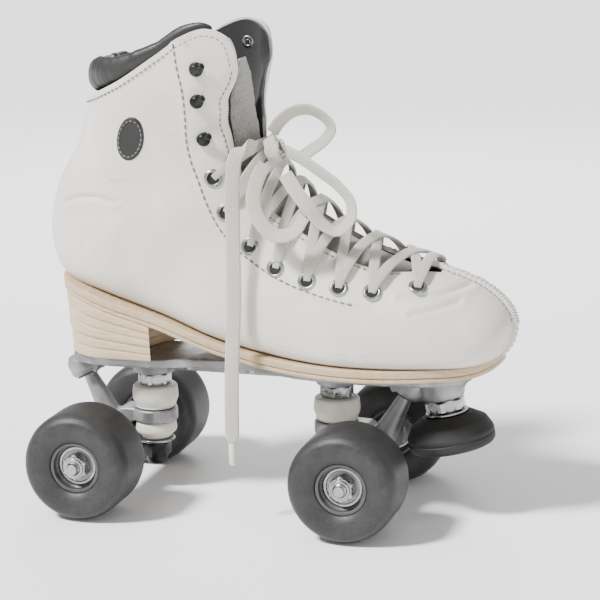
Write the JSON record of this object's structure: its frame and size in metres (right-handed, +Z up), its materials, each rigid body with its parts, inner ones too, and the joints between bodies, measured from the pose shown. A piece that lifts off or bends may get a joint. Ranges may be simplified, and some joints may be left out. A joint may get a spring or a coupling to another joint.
{
  "type": "quad roller skate",
  "caption": "High laced leather roller-skate boot on a stacked heel and cast plate, with sprung steering trucks, bearing wheels in two pairs and a screwed toe stop.",
  "frame": {"origin": "on the ground under the middle of the skate's bounding box, free laces left out", "axes": "+X towards the toe, +Y towards the wearer's left (the inner side of this right skate), +Z up"},
  "size_m": [0.2698, 0.15, 0.2738],
  "materials": {
    "white_leather": "satin",
    "black_lining": "matte",
    "black_padding": "satin",
    "tongue_felt": "matte",
    "footbed_leather": "matte",
    "sole_leather": "satin",
    "heel_leather": "satin",
    "cast_aluminium": "satin",
    "steel": "satin",
    "cushion_urethane": "satin",
    "cup_urethane": "matte",
    "wheel_urethane": "satin",
    "hub_nylon": "matte",
    "stop_rubber": "matte",
    "cotton_lace": "matte",
    "lace_tip": "gloss"
  },
  "bodies": {
    "boot_and_plate": {"boot_upper": "white_leather", "boot_lining": "black_lining", "collar_roll": "black_padding", "tongue": "tongue_felt", "footbed": "footbed_leather", "midsole": "sole_leather", "outsole": "sole_leather", "heel_lift_1": "heel_leather", "heel_lift_2": "heel_leather", "heel_lift_3": "heel_leather", "heel_lift_4": "heel_leather", "heel_lift_5": "heel_leather", "plate": "cast_aluminium", "lacing": "cotton_lace", "lace_knot": "cotton_lace", "toe_stop_nut": "steel", "front_kingpin": "steel", "front_kingpin_nut": "steel", "front_cushion_upper": "cushion_urethane", "front_cushion_lower": "cushion_urethane", "front_retainer": "steel", "front_pivot_cup": "cup_urethane", "rear_kingpin": "steel", "rear_kingpin_nut": "steel", "rear_cushion_upper": "cushion_urethane", "rear_cushion_lower": "cushion_urethane", "rear_retainer": "steel", "rear_pivot_cup": "cup_urethane", "lace_loop_upper": "cotton_lace", "lace_loop_forward": "cotton_lace", "lace_tail": "cotton_lace", "lace_end": "cotton_lace", "lace_aglet": "lace_tip"},
    "front_truck": {"front_hanger": "cast_aluminium", "front_axle": "steel", "front_left_axle_nut": "steel", "front_right_axle_nut": "steel"},
    "rear_truck": {"rear_hanger": "cast_aluminium", "rear_axle": "steel", "rear_left_axle_nut": "steel", "rear_right_axle_nut": "steel"},
    "front_left_wheel": {"front_left_tyre": "wheel_urethane", "front_left_hub": "hub_nylon", "front_left_bearing_outer": "steel", "front_left_bearing_inner": "steel"},
    "front_right_wheel": {"front_right_tyre": "wheel_urethane", "front_right_hub": "hub_nylon", "front_right_bearing_outer": "steel", "front_right_bearing_inner": "steel"},
    "rear_left_wheel": {"rear_left_tyre": "wheel_urethane", "rear_left_hub": "hub_nylon", "rear_left_bearing_outer": "steel", "rear_left_bearing_inner": "steel"},
    "rear_right_wheel": {"rear_right_tyre": "wheel_urethane", "rear_right_hub": "hub_nylon", "rear_right_bearing_outer": "steel", "rear_right_bearing_inner": "steel"},
    "toe_stop_screw": {"toe_stop_washer": "steel"},
    "toe_stop": {"toe_stop_rubber": "stop_rubber", "toe_stop_stem": "steel"}
  },
  "joints": [
    {"name": "front_truck_steer", "type": "hinge", "parent": "boot_and_plate", "child": "front_truck", "pos_m": [0.03353, 0, 0.045], "axis": [0.8727, 0, 0.4883], "range_deg": [-8, 8], "stiffness_Nm_per_rad": 18, "deforming": ["front_cushion_upper", "front_cushion_lower"]},
    {"name": "front_left_wheel_spin", "type": "hinge", "parent": "front_truck", "child": "front_left_wheel", "pos_m": [0.05553, 0.0555, 0.03088], "axis": [0, 1, 0], "continuous": true},
    {"name": "front_right_wheel_spin", "type": "hinge", "parent": "front_truck", "child": "front_right_wheel", "pos_m": [0.05553, -0.0555, 0.03088], "axis": [0, 1, 0], "continuous": true},
    {"name": "rear_truck_steer", "type": "hinge", "parent": "boot_and_plate", "child": "rear_truck", "pos_m": [-0.07647, 0, 0.045], "axis": [-0.8727, 0, 0.4883], "range_deg": [-8, 8], "stiffness_Nm_per_rad": 18, "deforming": ["rear_cushion_upper", "rear_cushion_lower"]},
    {"name": "rear_left_wheel_spin", "type": "hinge", "parent": "rear_truck", "child": "rear_left_wheel", "pos_m": [-0.09847, 0.0555, 0.03088], "axis": [0, 1, 0], "continuous": true},
    {"name": "rear_right_wheel_spin", "type": "hinge", "parent": "rear_truck", "child": "rear_right_wheel", "pos_m": [-0.09847, -0.0555, 0.03088], "axis": [0, 1, 0], "continuous": true},
    {"name": "toe_stop_travel", "type": "slide", "parent": "boot_and_plate", "child": "toe_stop_screw", "axis": [0.1908, 0, -0.9816], "range_m": [0, 0.00423]},
    {"name": "toe_stop_turn", "type": "hinge", "parent": "toe_stop_screw", "child": "toe_stop", "pos_m": [0.10103, 0, 0.0385], "axis": [0.1908, 0, -0.9816], "range_deg": [0, 1080]}
  ],
  "couplings": [
    {"joint": "toe_stop_turn", "follows": "toe_stop_travel", "rad_per_m": 4453}
  ]
}
